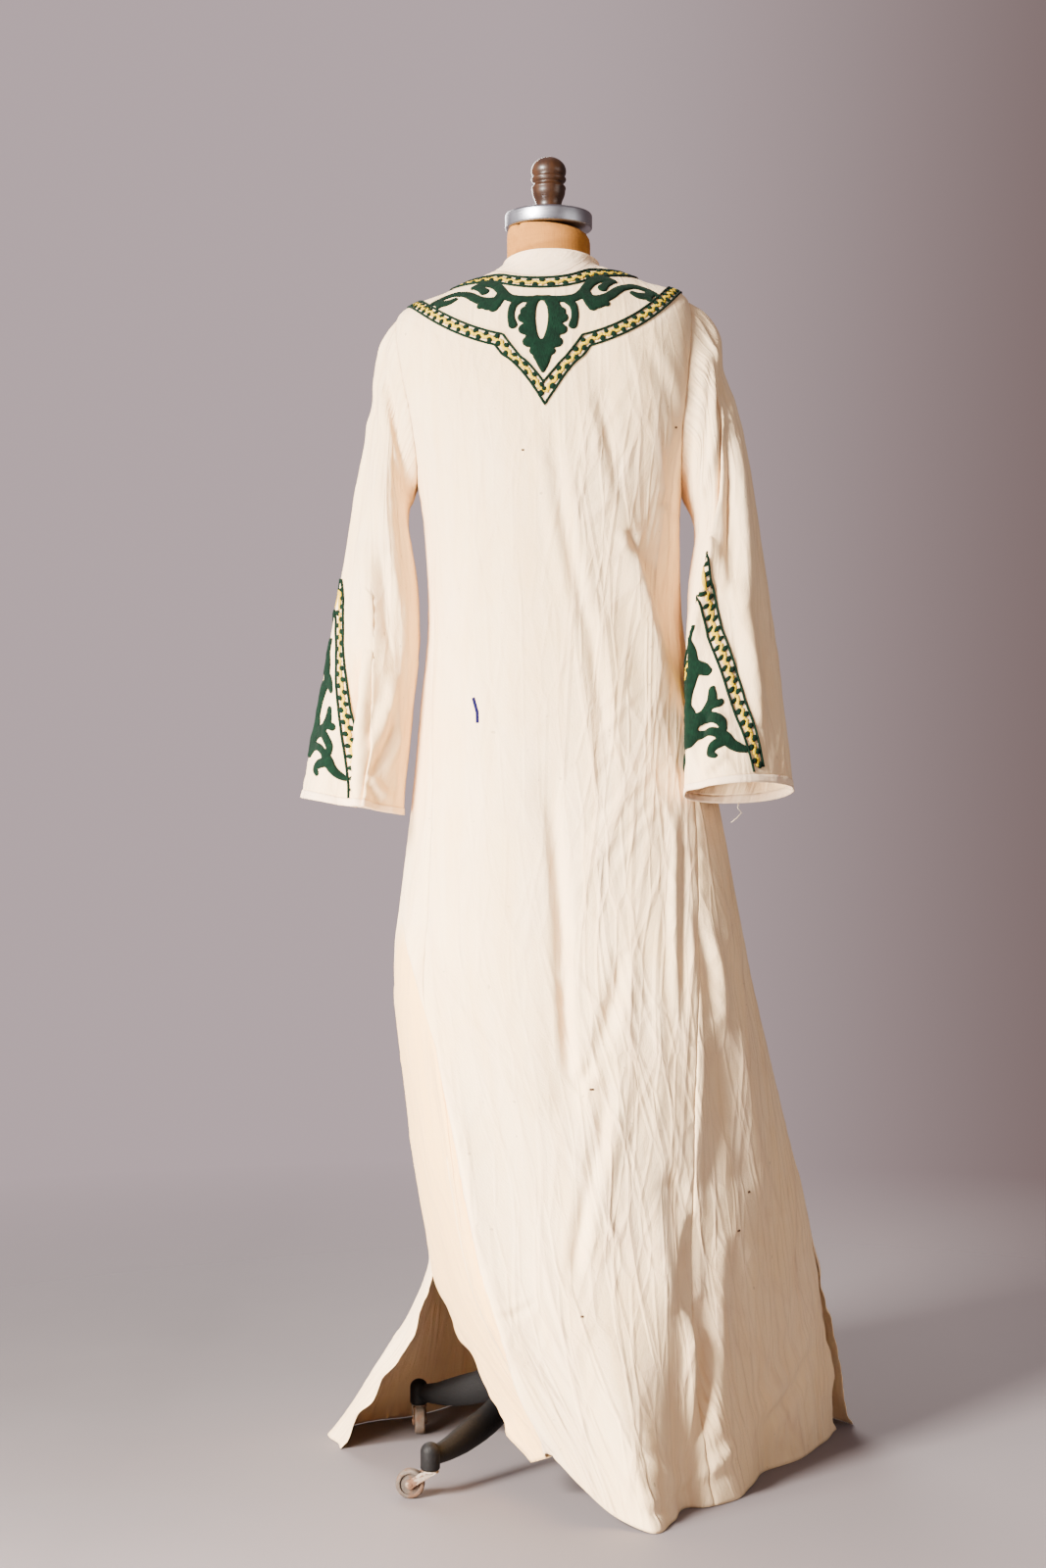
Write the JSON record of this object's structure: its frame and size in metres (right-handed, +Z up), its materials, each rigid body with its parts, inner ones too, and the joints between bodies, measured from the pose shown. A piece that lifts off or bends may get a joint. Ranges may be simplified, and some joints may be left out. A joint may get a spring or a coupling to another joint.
{
  "type": "kaftan dress on a dress form",
  "caption": "Floor-length cotton kaftan with trumpet sleeves, gores, side slits and a low neck band, worn by a limbless linen dress form on an iron pole and caster base",
  "frame": {"origin": "middle of the bounding box's bottom, on the floor", "axes": "+Z up along the pole, -Y out of the dress's back, +X to the right as seen from behind"},
  "size_m": [0.7236, 0.6812, 1.6673],
  "materials": {
    "cream_cotton": "plain-woven cream cotton, soft and slightly creased",
    "pale_facing": "paler cotton facing, stitched flat",
    "form_linen": "tan linen, matt",
    "brushed_steel": "brushed, satin",
    "dark_walnut": "dark, varnished",
    "cast_iron": "black paint, worn",
    "rusty_steel": "old cream paint, rusty",
    "rusty_wheel": "rusty, worn tread"
  },
  "bodies": {
    "stand": {"back_panel": "cream_cotton", "front_panel": "cream_cotton", "back_gore_left": "cream_cotton", "back_gore_right": "cream_cotton", "front_gore_left": "cream_cotton", "front_gore_right": "cream_cotton", "sleeve_left": "cream_cotton", "sleeve_right": "cream_cotton", "cuff_left": "pale_facing", "cuff_right": "pale_facing", "neck_band": "pale_facing", "form_torso": "form_linen", "neck_cap": "brushed_steel", "finial": "dark_walnut", "pole": "cast_iron", "hub": "cast_iron", "leg_front_right": "cast_iron", "leg_front_left": "cast_iron", "leg_back_left": "cast_iron", "leg_back_right": "cast_iron"},
    "fork_front_right": {"fork_front_right": "rusty_steel"},
    "wheel_front_right": {"wheel_front_right": "rusty_wheel"},
    "fork_front_left": {"fork_front_left": "rusty_steel"},
    "wheel_front_left": {"wheel_front_left": "rusty_wheel"},
    "fork_back_left": {"fork_back_left": "rusty_steel"},
    "wheel_back_left": {"wheel_back_left": "rusty_wheel"},
    "fork_back_right": {"fork_back_right": "rusty_steel"},
    "wheel_back_right": {"wheel_back_right": "rusty_wheel"}
  },
  "joints": [
    {"name": "swivel_front_right", "type": "hinge", "parent": "stand", "child": "fork_front_right", "pos_m": [0.09487, 0.14679, 0.04], "axis": [0, 0, 1], "continuous": true},
    {"name": "roll_front_right", "type": "hinge", "parent": "fork_front_right", "child": "wheel_front_right", "pos_m": [0.11742, 0.155, 0.0175], "axis": [-0.342, 0.9397, 0], "continuous": true},
    {"name": "swivel_front_left", "type": "hinge", "parent": "stand", "child": "fork_front_left", "pos_m": [-0.22212, 0.11906, 0.04], "axis": [0, 0, 1], "continuous": true},
    {"name": "roll_front_left", "type": "hinge", "parent": "fork_front_left", "child": "wheel_front_left", "pos_m": [-0.22003, 0.09515, 0.0175], "axis": [0.9962, 0.0872, 0], "continuous": true},
    {"name": "swivel_back_left", "type": "hinge", "parent": "stand", "child": "fork_back_left", "pos_m": [-0.19439, -0.19793, 0.04], "axis": [0, 0, 1], "continuous": true},
    {"name": "roll_back_left", "type": "hinge", "parent": "fork_back_left", "child": "wheel_back_left", "pos_m": [-0.21837, -0.19709, 0.0175], "axis": [-0.0349, -0.9994, 0], "continuous": true},
    {"name": "swivel_back_right", "type": "hinge", "parent": "stand", "child": "fork_back_right", "pos_m": [0.1226, -0.1702, 0.04], "axis": [0, 0, 1], "continuous": true},
    {"name": "roll_back_right", "type": "hinge", "parent": "fork_back_right", "child": "wheel_back_right", "pos_m": [0.1346, -0.19098, 0.0175], "axis": [0.866, 0.5, 0], "continuous": true}
  ]
}
